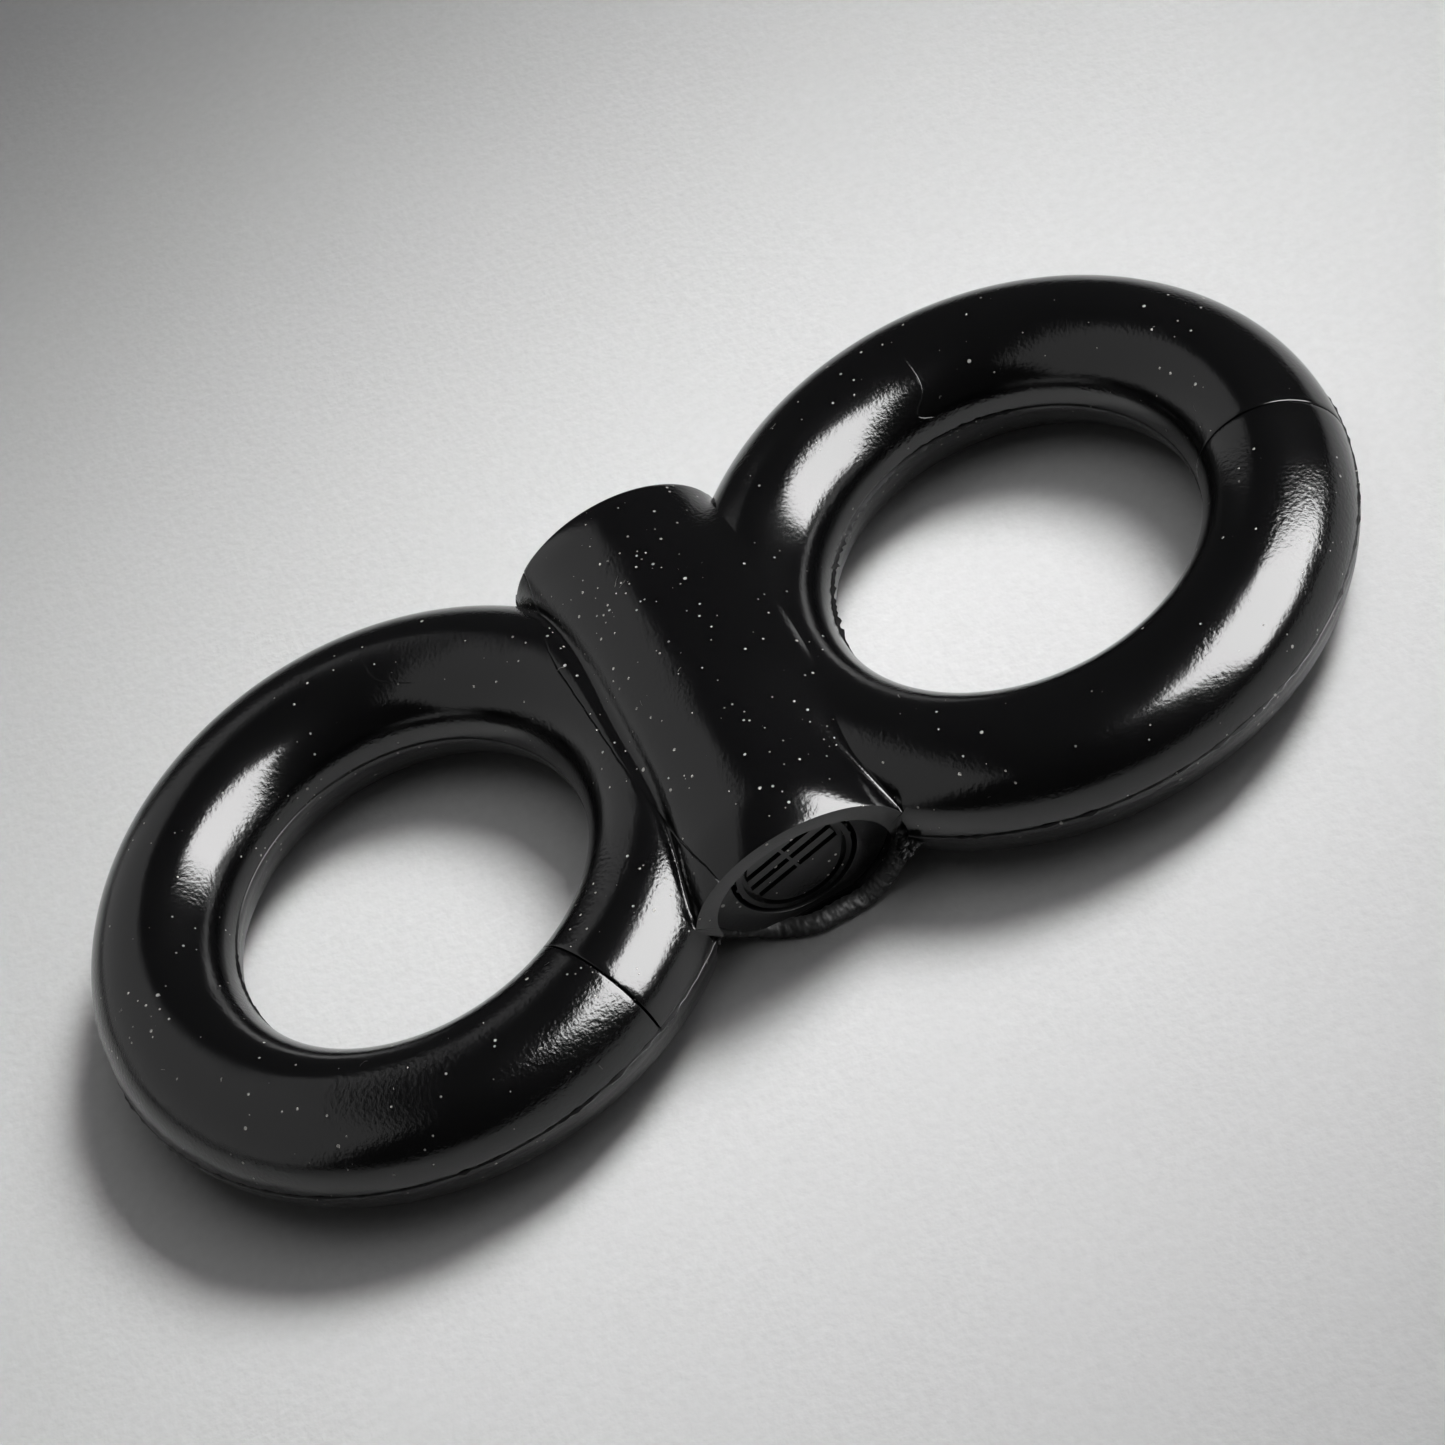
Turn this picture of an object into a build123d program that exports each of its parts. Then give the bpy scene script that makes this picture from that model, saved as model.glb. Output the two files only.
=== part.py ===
"""A flat double ring with a cross sleeve, and a screw-capped insert that slides in the sleeve.

Millimetres. The underside lies on z = 0 and +Z is up. The two rings lie side by side along X, one each
side of the sleeve, and the sleeve runs along Y with its open mouth at -Y.
"""

import os
from math import acos, cos, degrees, pi, radians, sin

from build123d import *

# Rings
ring_radius = 24.0  # hole centre to the middle of the ring's round section
section_radius = 6.8  # the ring's round section
ring_gap = 0.2  # between the two rings' outer circles, where they pass each other inside the sleeve
core_radius = 3.4  # stiffening hoop inside each ring
bond_gap = 0.05  # glue line round each hoop and the liner
core_end_gap = 0.6  # hoop end to the sleeve's flank
seam_gap = 0.15  # butt seam across each upper shell
left_seam_angle = -63.0  # about the left ring's centre, from +X
right_seam_angle = -13.0  # about the right ring's centre, from +X
land_height = 1.0  # flash land round the top of each lower shell
land_proud = 0.12  # how far the land stands out of the round section

# Insert and its screw cap
insert_radius = 5.8
running_clearance = 0.06  # radial, wherever one piece slides or turns in another
barrel_length = 31.4
barrel_wall = 1.1
floor_thickness = 1.6  # partition across the barrel behind the cap's shank
cap_flange = 3.4
cap_shank = 4.6
seal_thickness = 0.8
end_plug_flange = 2.6
end_plug_shank = 4.0
thread_pitch = 1.0
knurl_count = 30
knurl_radius = 0.22
bar_count = 4
bar_width = 0.75
bar_space = 0.55
bar_height = 0.5
bar_margin = 1.0  # bar ends to the edge of the cap's face
bar_tilt = 15.0  # how the bars lie at rest
rib_width = 0.3
rim_width = 0.5
pad_share = 0.15  # flat pad's straight edge below the middle, as a share of the face's radius

# Sleeve
liner_wall = 0.6  # thinnest place, under the bore
sleeve_wall = 1.3
flank_extra = 2.5  # how much wider than round the sleeve is, each side
crown_extra = 0.6  # how much higher than round the crown is; the underside is flattened by as much
mouth_overhang = 2.6  # sleeve mouth to the cap's face
mouth_pocket = 2.6  # sleeve mouth to the liner's front face
rear_overhang = 3.2  # end plug's face to the sleeve's rear edge
rear_pocket = 2.0  # sleeve's rear edge to the liner's rear face
lip_length = 2.0  # thick strip along the mouth's lower edge
lip_clearance = 0.15  # radial, from the strip to an insert that slides out over it
mouth_y = -22.0  # front edge of the sleeve

# Worked out from the sizes above
ring_centre = ring_radius + section_radius + ring_gap / 2
ring_height = section_radius
bore_radius = insert_radius + running_clearance
bore_height = sleeve_wall + bond_gap + liner_wall + bore_radius
half_height = bore_height + crown_extra
half_width = bore_height + flank_extra
lip_thickness = liner_wall + bond_gap + running_clearance - lip_clearance  # how far it stands into the mouth
cap_y = mouth_y + mouth_overhang
seal_y = cap_y + cap_flange
barrel_y = seal_y + seal_thickness
barrel_end_y = barrel_y + barrel_length
end_face_y = barrel_end_y + seal_thickness + end_plug_flange
rear_y = end_face_y + rear_overhang
sleeve_length = rear_y - mouth_y
barrel_bore = insert_radius - barrel_wall
core_end_angle = degrees(
    acos((ring_centre - half_width - core_radius - core_end_gap) / ring_radius)
)
reach = 3 * (ring_centre + ring_radius)  # larger than the whole object


def save(name, piece):
    """Names a finished piece after its node and writes it."""
    piece.part.label = name
    export_step(piece.part, f"parts/{name}.step")


def sleeve_outline(y, inset=0.0):
    """The sleeve's D-shaped outline at y: an ellipse about the bore's axis, flattened underneath."""
    with BuildSketch(Plane.XZ.offset(-y)) as outline:
        with BuildLine():
            for start_angle in (-90, 90):  # two arcs, which meet at the crown and underneath
                EllipticalCenterArc(
                    (0, bore_height),
                    half_width - inset,
                    half_height - inset,
                    start_angle=start_angle,
                    arc_size=180,
                )
        make_face()
        with Locations((0, inset)):
            Rectangle(reach, reach, align=(Align.CENTER, Align.MIN), mode=Mode.INTERSECT)
    return outline.sketch


def disc(y, radius):
    """A round profile at y on the bore's axis."""
    with BuildSketch(Plane.XZ.offset(-y)) as profile:
        with Locations((0, bore_height)):
            Circle(radius)
    return profile.sketch


def radial_plane(centre_x, angle):
    """Plane through a ring's axis at an angle from +X. Its x runs outwards and its y runs up."""
    return Plane(
        origin=(centre_x, 0, 0),
        x_dir=(cos(radians(angle)), sin(radians(angle)), 0),
        z_dir=(sin(radians(angle)), -cos(radians(angle)), 0),
    )


def ring_profile(plane, upper):
    """Upper or lower half of a ring's round section. The lower half carries the flash land."""
    middle = (ring_radius, ring_height)
    side = Align.MIN if upper else Align.MAX
    with BuildSketch(plane) as profile:
        with Locations(middle):
            Circle(section_radius)
            if not upper:
                Rectangle(2 * (section_radius + land_proud), land_height, align=(Align.CENTER, Align.MAX))
            Rectangle(reach, reach, align=(Align.CENTER, side), mode=Mode.INTERSECT)
    return profile.sketch


def ring_hoop(centre_x, hub_angle, radius):
    """A round hoop in the middle of a ring, from one flank of the sleeve round to the other."""
    with BuildPart() as hoop:
        with BuildSketch(radial_plane(centre_x, hub_angle + core_end_angle)):
            with Locations((ring_radius, ring_height)):
                Circle(radius)
        revolve(axis=Axis((centre_x, 0, 0), (0, 0, 1)), revolution_arc=360 - 2 * core_end_angle)
    return hoop


def ring_shell(centre_x, hub_angle, seam_angle, upper):
    """Half of a ring, split along its equator. An upper shell is open at its butt seam."""
    open_angle = degrees(seam_gap / ring_radius) if upper else 0
    start = seam_angle + open_angle / 2 if upper else hub_angle
    profile = ring_profile(radial_plane(centre_x, start), upper)
    channel = ring_hoop(centre_x, hub_angle, core_radius + bond_gap)
    sleeve_space = sleeve_outline(mouth_y - bond_gap, inset=-bond_gap)
    with BuildPart() as shell:
        revolve(profile, axis=Axis((centre_x, 0, 0), (0, 0, 1)), revolution_arc=360 - open_angle)
        extrude(sleeve_space, amount=-(sleeve_length + 2 * bond_gap), mode=Mode.SUBTRACT)
        add(channel.part, mode=Mode.SUBTRACT)
    return shell


def rings():
    """Four shells and two stiffening hoops."""
    for side, centre_x, hub_angle, seam_angle in (
        ("left", -ring_centre, 0, left_seam_angle),
        ("right", ring_centre, 180, right_seam_angle),
    ):
        for half, upper in (("upper", True), ("lower", False)):
            save(f"{side}_ring_{half}_shell", ring_shell(centre_x, hub_angle, seam_angle, upper))
        save(f"{side}_ring_core", ring_hoop(centre_x, hub_angle, core_radius))


def sleeve_half(upper):
    """Half of the sleeve's shell, split at the rings' parting height."""
    outside = sleeve_outline(mouth_y)
    inside = sleeve_outline(mouth_y, inset=sleeve_wall)
    side = Align.MIN if upper else Align.MAX
    lip_space = sleeve_wall / 2
    with BuildPart() as half:
        extrude(outside, amount=-sleeve_length)
        extrude(inside, amount=-sleeve_length, mode=Mode.SUBTRACT)
        with Locations((0, 0, ring_height)):
            Box(reach, reach, reach, align=(Align.CENTER, Align.CENTER, side), mode=Mode.INTERSECT)
        if not upper:
            lip_seat = sleeve_outline(mouth_y, inset=lip_space)
            extrude(lip_seat, amount=-lip_length, mode=Mode.SUBTRACT)
    return half


def mouth_strip():
    """The thick strip let into the mouth's lower edge."""
    outside = sleeve_outline(mouth_y, inset=sleeve_wall / 2)
    inside = sleeve_outline(mouth_y, inset=sleeve_wall + lip_thickness)
    with BuildPart() as strip:
        extrude(outside, amount=-lip_length)
        extrude(inside, amount=-lip_length, mode=Mode.SUBTRACT)
        with Locations((0, 0, ring_height)):
            Box(
                reach,
                reach,
                reach,
                align=(Align.CENTER, Align.CENTER, Align.MAX),
                mode=Mode.INTERSECT,
            )
    return strip


def liner():
    """Fills the sleeve between its two pockets and carries the round bore."""
    front_y = mouth_y + mouth_pocket
    outside = sleeve_outline(front_y, inset=sleeve_wall + bond_gap)
    bore = disc(front_y, bore_radius)
    length = rear_y - rear_pocket - front_y
    with BuildPart() as body:
        extrude(outside, amount=-length)
        extrude(bore, amount=-length, mode=Mode.SUBTRACT)
    return body


def barrel():
    """The insert's tube, with a partition behind the cap's shank."""
    outside = disc(barrel_y, insert_radius)
    front_bore = disc(barrel_y, barrel_bore)
    partition_y = barrel_y + cap_shank + thread_pitch
    rear_bore = disc(partition_y + floor_thickness, barrel_bore)
    with BuildPart() as tube:
        extrude(outside, amount=-barrel_length)
        extrude(front_bore, amount=-(partition_y - barrel_y), mode=Mode.SUBTRACT)
        extrude(rear_bore, amount=-barrel_length, mode=Mode.SUBTRACT)
    return tube


def cap():
    """Screw cap: a knurled flange with grip bars on its face, and a shank that turns in the barrel."""
    face_radius = insert_radius - 2 * knurl_radius
    shank = disc(seal_y, barrel_bore - running_clearance)
    pad_edge = -pad_share * face_radius
    bar_pitch = bar_width + bar_space
    along_bars = (cos(radians(bar_tilt)), 0, sin(radians(bar_tilt)))
    face = Plane(origin=(0, cap_y, bore_height), x_dir=along_bars, z_dir=(0, -1, 0))
    with BuildSketch(face) as grip_field:
        with Locations((0, pad_edge)):
            Rectangle(reach, reach, align=(Align.CENTER, Align.MAX))
        for i in range(bar_count):
            with Locations((0, pad_edge + bar_space + i * bar_pitch)):
                Rectangle(reach, bar_width, align=(Align.CENTER, Align.MIN))
        with Locations((0, pad_edge)):
            Rectangle(rib_width, reach, align=(Align.CENTER, Align.MIN))
        Circle(face_radius - bar_margin, mode=Mode.INTERSECT)
    with BuildSketch(face) as face_rim:
        Circle(face_radius)
        Circle(face_radius - rim_width, mode=Mode.SUBTRACT)
    with BuildSketch(face.offset(-bar_height)) as flange:
        Circle(face_radius)
        with PolarLocations(face_radius, knurl_count):
            Circle(knurl_radius)
    with BuildPart() as screw_cap:
        extrude(flange.sketch, amount=-(cap_flange - bar_height))
        extrude(grip_field.sketch, amount=-bar_height)
        extrude(face_rim.sketch, amount=-bar_height)
        extrude(shank, amount=-cap_shank)
    return screw_cap


def seal(y):
    """Flat washer round a shank."""
    outside = disc(y, insert_radius - 2 * running_clearance)
    inside = disc(y, barrel_bore)
    with BuildPart() as washer:
        extrude(outside, amount=-seal_thickness)
        extrude(inside, amount=-seal_thickness, mode=Mode.SUBTRACT)
    return washer


def end_plug():
    """Closes the barrel's rear end."""
    flange = disc(barrel_end_y + seal_thickness, insert_radius)
    shank = disc(barrel_end_y - end_plug_shank, barrel_bore - bond_gap)
    with BuildPart() as plug:
        extrude(flange, amount=-end_plug_flange)
        extrude(shank, amount=-(end_plug_shank + seal_thickness))
    return plug


os.makedirs("parts", exist_ok=True)
rings()
save("sleeve_upper_shell", sleeve_half(upper=True))
save("sleeve_lower_shell", sleeve_half(upper=False))
save("mouth_lip", mouth_strip())
save("sleeve_liner", liner())
save("insert_barrel", barrel())
save("insert_cap", cap())
save("cap_seal", seal(seal_y))
save("insert_end_plug", end_plug())
save("end_seal", seal(barrel_end_y))
print("ring centres at", round(ring_centre, 3), "sleeve from", mouth_y, "to", round(rear_y, 3))
print("bore height", round(bore_height, 3), "crown", round(bore_height + half_height, 3))
print("sleeve half width", round(half_width, 3), "screw ratio rad/m", 2 * pi / thread_pitch * 1000)
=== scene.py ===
"""Double ring with a cross sleeve: two moulded rings in one plane, joined over a hollow sleeve."""
from math import cos, pi, radians, sin, sqrt, tan

import bmesh
import bpy
import numpy as np
from mathutils import Matrix, Vector, noise


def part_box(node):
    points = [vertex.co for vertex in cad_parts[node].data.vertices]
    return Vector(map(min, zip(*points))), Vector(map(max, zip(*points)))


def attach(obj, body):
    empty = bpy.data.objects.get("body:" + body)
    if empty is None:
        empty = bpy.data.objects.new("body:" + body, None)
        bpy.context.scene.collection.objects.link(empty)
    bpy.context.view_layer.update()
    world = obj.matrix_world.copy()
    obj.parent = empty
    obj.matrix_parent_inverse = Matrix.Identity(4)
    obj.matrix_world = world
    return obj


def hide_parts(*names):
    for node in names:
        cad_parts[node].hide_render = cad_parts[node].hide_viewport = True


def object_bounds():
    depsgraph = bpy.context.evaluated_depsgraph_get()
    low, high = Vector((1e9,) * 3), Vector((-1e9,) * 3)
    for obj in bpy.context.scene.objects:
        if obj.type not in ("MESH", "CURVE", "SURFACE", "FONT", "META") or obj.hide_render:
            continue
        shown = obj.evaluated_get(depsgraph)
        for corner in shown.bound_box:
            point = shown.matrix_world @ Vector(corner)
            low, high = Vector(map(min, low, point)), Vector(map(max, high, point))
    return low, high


bl_info = {
    "name": "Double ring with cross sleeve",
    "version": (1, 0, 0),
    "blender": (4, 5, 0),
    "location": "View3D > Sidebar > Double Ring",
    "description": "Builds the visible shells, sleeve and insert of a moulded double ring, and its studio",
    "category": "Object",
}

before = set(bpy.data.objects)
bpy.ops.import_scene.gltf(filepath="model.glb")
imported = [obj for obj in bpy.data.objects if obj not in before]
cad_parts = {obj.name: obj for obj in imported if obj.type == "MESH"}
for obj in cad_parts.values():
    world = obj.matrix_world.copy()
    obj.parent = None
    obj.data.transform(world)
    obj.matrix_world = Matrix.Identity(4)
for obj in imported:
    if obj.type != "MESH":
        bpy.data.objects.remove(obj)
cad_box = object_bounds()

MM = 0.001
SIDES = {"left": -1, "right": 1}


# ---------------------------------------------------------------- sizes a user would change


def length(name, description, default):
    """A length in metres, given in millimetres."""
    return bpy.props.FloatProperty(
        name=name, description=description, default=default * MM, unit="LENGTH", precision=5
    )


def angle(name, description, default):
    """An angle, given in degrees."""
    return bpy.props.FloatProperty(
        name=name, description=description, default=radians(default), subtype="ANGLE"
    )


def factor(name, description, default):
    """A plain number."""
    return bpy.props.FloatProperty(name=name, description=description, default=default, precision=5)


def shade(name, description, default):
    """A colour without alpha."""
    return bpy.props.FloatVectorProperty(
        name=name, description=description, default=default, size=3, subtype="COLOR"
    )


class RingSizes(bpy.types.PropertyGroup):
    """The two rings and their moulding marks."""

    radius: length("Ring radius", "Hole centre to the middle of the round section", 24.0)
    section: length("Section radius", "Radius of the round section", 6.8)
    centre: length("Ring centre", "Ring axis to the sleeve's axis", 30.9)
    channel: length("Channel radius", "Channel for the stiffening hoop", 3.45)
    seam: length("Butt seam", "Gap across each upper shell", 0.15)
    left_seam: angle("Left seam", "Where the left ring's butt seam is, from +X", -63)
    right_seam: angle("Right seam", "Where the right ring's butt seam is, from +X", -13)
    edge: length("Parting edge", "Rounding of the upper shells along the parting line", 0.16)
    land: length("Flash land", "Height of the land round the top of the lower shells", 1.0)
    land_proud: length("Land proud", "How far the land stands out", 0.09)
    flash: length("Flash", "How far the roughest flash stands out", 0.5)


class SleeveSizes(bpy.types.PropertyGroup):
    """The saddle, its underside and its mouth."""

    axis: length("Bore height", "Bore axis above the floor", 7.81)
    half_width: length("Half width", "Bore axis to the sleeve's flank", 10.31)
    half_height: length("Half height", "Bore axis to the crown", 8.41)
    wall: length("Wall", "Thickness of the sleeve's wall", 1.3)
    foot: length("Foot", "How much thicker the mouth's rim is at its feet", 0.7)
    mouth: length("Mouth", "Where the mouth's front edge is", -22.0)
    rear: length("Rear", "Where the rear edge is", 22.8)
    rim: length("Rim rounding", "Rounding of the mouth's rim", 0.34)
    crease: length("Crease", "How far the saddle blends into the left ring", 0.6)
    web: length("Web", "How far the saddle blends into the right ring", 4.6)
    droop: length("Droop", "How far the crown rolls down at the mouth's rim", 1.25)
    droop_length: length("Droop length", "How far behind the mouth the crown starts to roll down", 4.6)
    flare: length("Flare", "How far the left flank flares at the rear", 0.45)
    valley: length("Valley", "Depth of the groove where the crown meets the left ring", 0.42)
    proud: length("Proud", "How far the saddle stands out beside the hairline", 0.05)
    hairline: length("Hairline depth", "Depth of the hairline seam beside the left ring", 0.09)


class FinishSizes(bpy.types.PropertyGroup):
    """The elastomer's finish."""

    black: shade("Black", "Colour of the elastomer", (0.0022, 0.0022, 0.0024))
    dust: shade("Dust", "Colour of the specks", (0.30, 0.29, 0.27))
    roughness: factor("Roughness", "Roughness of the polished faces", 0.13)
    ripple: length("Ripple", "Height of the slow waves in the skin", 0.016)
    nap: length("Nap", "Height of the fine scratches that feather a highlight", 0.027)


class StudioSizes(bpy.types.PropertyGroup):
    """Camera, lights and floor."""

    heading: angle("Heading", "Camera's turn about the vertical", -0.505)
    tilt: angle("Tilt", "Camera's tilt up from straight down", 42.41)
    roll: angle("Roll", "Camera's roll about its own axis", -29.22)
    lens: factor("Lens", "Focal length on a 36 mm sensor", 95.45)
    place: bpy.props.FloatVectorProperty(
        name="Camera place",
        description="Where the camera stands",
        default=(-0.00137, -0.23046, 0.25873),
        subtype="TRANSLATION",
        unit="LENGTH",
        precision=5,
    )
    floor: shade("Floor", "Colour of the floor", (0.56, 0.56, 0.56))
    ambient: factor("Ambient", "Strength of the even light all round", 0.034)


# ---------------------------------------------------------------- modelling helpers


def start(adder, **place):
    """Adds one primitive with nothing else selected, its place applied, and opens it for editing."""
    bpy.ops.object.select_all(action="DESELECT")
    adder(**place)
    bpy.ops.object.transform_apply(location=True, rotation=True, scale=True)
    piece = bpy.context.object
    bpy.ops.object.mode_set(mode="EDIT")
    return piece


def pick(piece, test, mode="VERT"):
    """Selects the vertices, edges or faces that pass the test, and nothing else."""
    bpy.ops.mesh.select_mode(type=mode)
    bpy.ops.mesh.select_all(action="DESELECT")
    mesh = bmesh.from_edit_mesh(piece.data)
    group = {"VERT": mesh.verts, "EDGE": mesh.edges, "FACE": mesh.faces}[mode]
    for part in group:
        if test(part):
            part.select_set(True)
    mesh.select_flush_mode()
    bmesh.update_edit_mesh(piece.data)


def close(piece, name, smooth=35):
    """Leaves edit mode with outward faces, smooth shading and the piece's name."""
    bpy.ops.mesh.select_all(action="SELECT")
    bpy.ops.mesh.remove_doubles(threshold=1e-7)
    bpy.ops.mesh.normals_make_consistent(inside=False)
    bpy.ops.object.mode_set(mode="OBJECT")
    bpy.ops.object.shade_smooth_by_angle(angle=radians(smooth))
    piece.name = piece.data.name = name
    return piece


def move_points(piece, place):
    """Puts every point of the piece where place(point, selected) says."""
    mesh = bmesh.from_edit_mesh(piece.data)
    for point in mesh.verts:
        point.co = place(point.co, point.select)
    mesh.normal_update()
    bmesh.update_edit_mesh(piece.data)


def within(co, box):
    """The nearest point inside the box."""
    return Vector([min(max(value, low), high) for value, low, high in zip(co, *box)])


def cut_away(piece, cutter):
    """Cuts the cutter's solid out of the piece and removes the cutter."""
    only(piece)
    cut = piece.modifiers.new("cut", "BOOLEAN")
    cut.operation, cut.solver, cut.object = "DIFFERENCE", "EXACT", cutter
    bpy.ops.object.modifier_apply(modifier=cut.name)
    bpy.data.objects.remove(cutter)


def soften_edges(piece, width, over):
    """Bevels the active piece's edges that turn by more than the angle."""
    soften = piece.modifiers.new("soften", "BEVEL")
    soften.width, soften.segments = width, 3
    soften.limit_method, soften.angle_limit = "ANGLE", over
    bpy.ops.object.modifier_apply(modifier=soften.name)


def only(piece):
    """Makes the piece the only one selected and the active one."""
    bpy.ops.object.select_all(action="DESELECT")
    piece.select_set(True)
    bpy.context.view_layer.objects.active = piece


def hand_over(piece, body, slot, material, *nodes):
    """Rides the piece on its body, gives it its finish, and hides the nodes that it stands for."""
    piece.data.materials.clear()
    piece.data.materials.append(material)
    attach(piece, body)
    if nodes:
        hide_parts(*nodes)


# ---------------------------------------------------------------- finishes


def add(tree, kind, inputs=(), **settings):
    """Adds a node with its settings, and its inputs as values or as links from other nodes."""
    node = tree.nodes.new("ShaderNode" + kind)
    for key, value in settings.items():
        setattr(node, key, value)
    for key, value in dict(inputs).items():
        if isinstance(value, bpy.types.NodeSocket):
            tree.links.new(value, node.inputs[key])
        else:
            node.inputs[key].default_value = value
    return node


def maths(tree, operation, *values, clamp=False):
    """A Math node's result."""
    return add(tree, "Math", enumerate(values), operation=operation, use_clamp=clamp).outputs[0]


def grain(tree, place, scale, detail=2.0, distortion=0.0):
    """A noise value from 0 to 1 at so many waves to the metre."""
    inputs = {"Vector": place, "Scale": scale, "Detail": detail, "Distortion": distortion}
    return add(tree, "TexNoise", inputs).outputs[0]


def remap(tree, value, from_low, from_high, to_low, to_high):
    """A value moved from one range to another."""
    inputs = {0: value, 1: from_low, 2: from_high, 3: to_low, 4: to_high}
    return add(tree, "MapRange", inputs).outputs[0]


def threads(tree, place, scale, width, rarity):
    """Short curly hairlines: where one noise crosses its middle, kept where a second one is high."""
    wander = grain(tree, place, scale, detail=1.0, distortion=0.6)
    line = maths(tree, "LESS_THAN", maths(tree, "ABSOLUTE", maths(tree, "SUBTRACT", wander, 0.5)), width)
    shifted = add(tree, "Mapping", {"Vector": place, "Location": (0.31, 0.17, 0.23)}).outputs[0]
    kept = maths(tree, "GREATER_THAN", grain(tree, shifted, scale * 0.9), rarity)
    return maths(tree, "MULTIPLY", line, kept)


def specks(tree, place, scale, size, share):
    """Dust: small round spots in a share of the cells."""
    cells = add(tree, "TexVoronoi", {"Vector": place, "Scale": scale}, feature="F1")
    chance = add(tree, "SeparateColor", {"Color": cells.outputs["Color"]})
    radius = maths(tree, "MULTIPLY", chance.outputs[1], size)
    spot = maths(tree, "LESS_THAN", cells.outputs["Distance"], radius)
    return maths(tree, "MULTIPLY", spot, maths(tree, "LESS_THAN", chance.outputs[0], share))


def elastomer(name, roughness=None, dusty=1.0, granular=0.0, shine=0.5, seed=0.0):
    """Glossy black moulded elastomer, with slow ripples, fine scratches, hairlines and dust."""
    finish = bpy.context.scene.ring_finish
    material = bpy.data.materials.new(name)
    material.use_nodes = True
    tree = material.node_tree
    shader = tree.nodes["Principled BSDF"]
    object_place = add(tree, "TexCoord").outputs["Object"]
    place = add(tree, "Mapping", {"Vector": object_place, "Location": (seed, seed * 0.7, 0)}).outputs[0]

    crowd = remap(tree, grain(tree, place, 95, detail=2.0), 0.42, 0.62, 0.3 * dusty, 1.5 * dusty)
    coarse = specks(tree, place, 640, 0.12, maths(tree, "MULTIPLY", crowd, 0.4))
    light = specks(tree, place, 1500, 0.2, maths(tree, "MULTIPLY", crowd, 0.2))
    dust = maths(tree, "ADD", coarse, light, clamp=True)
    hairs = threads(tree, place, 330, 0.0042, 0.71)
    marks = maths(tree, "MAXIMUM", dust, maths(tree, "MULTIPLY", hairs, 0.28 * min(dusty, 1)))
    tint = add(
        tree,
        "Mix",
        {0: marks, 6: (*finish.black, 1), 7: (*finish.dust, 1)},
        data_type="RGBA",
    )
    tree.links.new(tint.outputs[2], shader.inputs["Base Color"])

    base = finish.roughness if roughness is None else roughness
    patches = maths(tree, "MULTIPLY", grain(tree, place, 160, detail=4.0), 0.09)
    uneven = maths(tree, "ADD", patches, base - 0.03)
    rough = maths(tree, "ADD", uneven, maths(tree, "MULTIPLY", marks, 0.5))
    tree.links.new(rough, shader.inputs["Roughness"])

    ripple = maths(tree, "MULTIPLY", grain(tree, place, 210, detail=1.0), finish.ripple)
    fine = maths(tree, "MULTIPLY", grain(tree, place, 2700, detail=4.0), finish.nap)
    scuffed = remap(tree, grain(tree, place, 120, detail=3.0), 0.42, 0.66, 0.5, 1.8)
    height = maths(tree, "ADD", ripple, maths(tree, "MULTIPLY", fine, scuffed))
    height = maths(tree, "ADD", height, maths(tree, "MULTIPLY", dust, 0.00002))
    if granular:
        lumps = grain(tree, place, 1500, detail=6.0)
        height = maths(tree, "ADD", height, maths(tree, "MULTIPLY", lumps, granular * MM))
    bump = add(tree, "Bump", {"Height": height, "Distance": 1.0, "Strength": 1.0})
    tree.links.new(bump.outputs[0], shader.inputs["Normal"])
    shader.inputs["IOR"].default_value = 1.52
    shader.inputs["Specular IOR Level"].default_value = shine
    return material


def paper(name, colour):
    """Pale matt floor with a faint tooth."""
    material = bpy.data.materials.new(name)
    material.use_nodes = True
    tree = material.node_tree
    shader = tree.nodes["Principled BSDF"]
    place = add(tree, "TexCoord").outputs["Object"]
    cloud = remap(tree, grain(tree, place, 900, detail=6.0), 0.3, 0.7, 0.965, 1.02)
    tint = add(
        tree, "VectorMath", {0: tuple(colour), 3: cloud}, operation="SCALE"
    ).outputs[0]
    tree.links.new(tint, shader.inputs["Base Color"])
    height = maths(tree, "MULTIPLY", grain(tree, place, 1400, detail=4.0), 0.00006)
    bump = add(tree, "Bump", {"Height": height, "Distance": 1.0})
    tree.links.new(bump.outputs[0], shader.inputs["Normal"])
    shader.inputs["Roughness"].default_value = 0.9
    shader.inputs["Specular IOR Level"].default_value = 0.15
    return material


def finish_for(slot):
    """The material of one of the record's slots, made the first time that it is asked for."""
    name = slot + "_finish"
    if name in bpy.data.materials:
        return bpy.data.materials[name]
    settings = {
        "ring_elastomer": dict(),
        "underside_elastomer": dict(roughness=0.3, dusty=2.4, granular=0.01, seed=0.2),
        "sleeve_elastomer": dict(dusty=1.5, seed=0.4),
        "lip_elastomer": dict(roughness=0.6, dusty=3.0, granular=0.05, shine=0.35, seed=0.7),
        "flash_elastomer": dict(roughness=0.5, dusty=0.0, granular=0.01, shine=0.12, seed=0.9),
        "core_elastomer": dict(roughness=0.45, dusty=0.0, granular=0.03, seed=1.1),
        "liner_plastic": dict(roughness=0.34, dusty=1.0, granular=0.02, seed=1.3),
        "insert_plastic": dict(roughness=0.24, dusty=1.2, granular=0.008, seed=1.5),
        "seal_rubber": dict(roughness=0.55, dusty=0.2, granular=0.02, seed=1.7),
    }
    return elastomer(name, **settings[slot])


# ---------------------------------------------------------------- surfaces shared by the pieces


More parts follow.
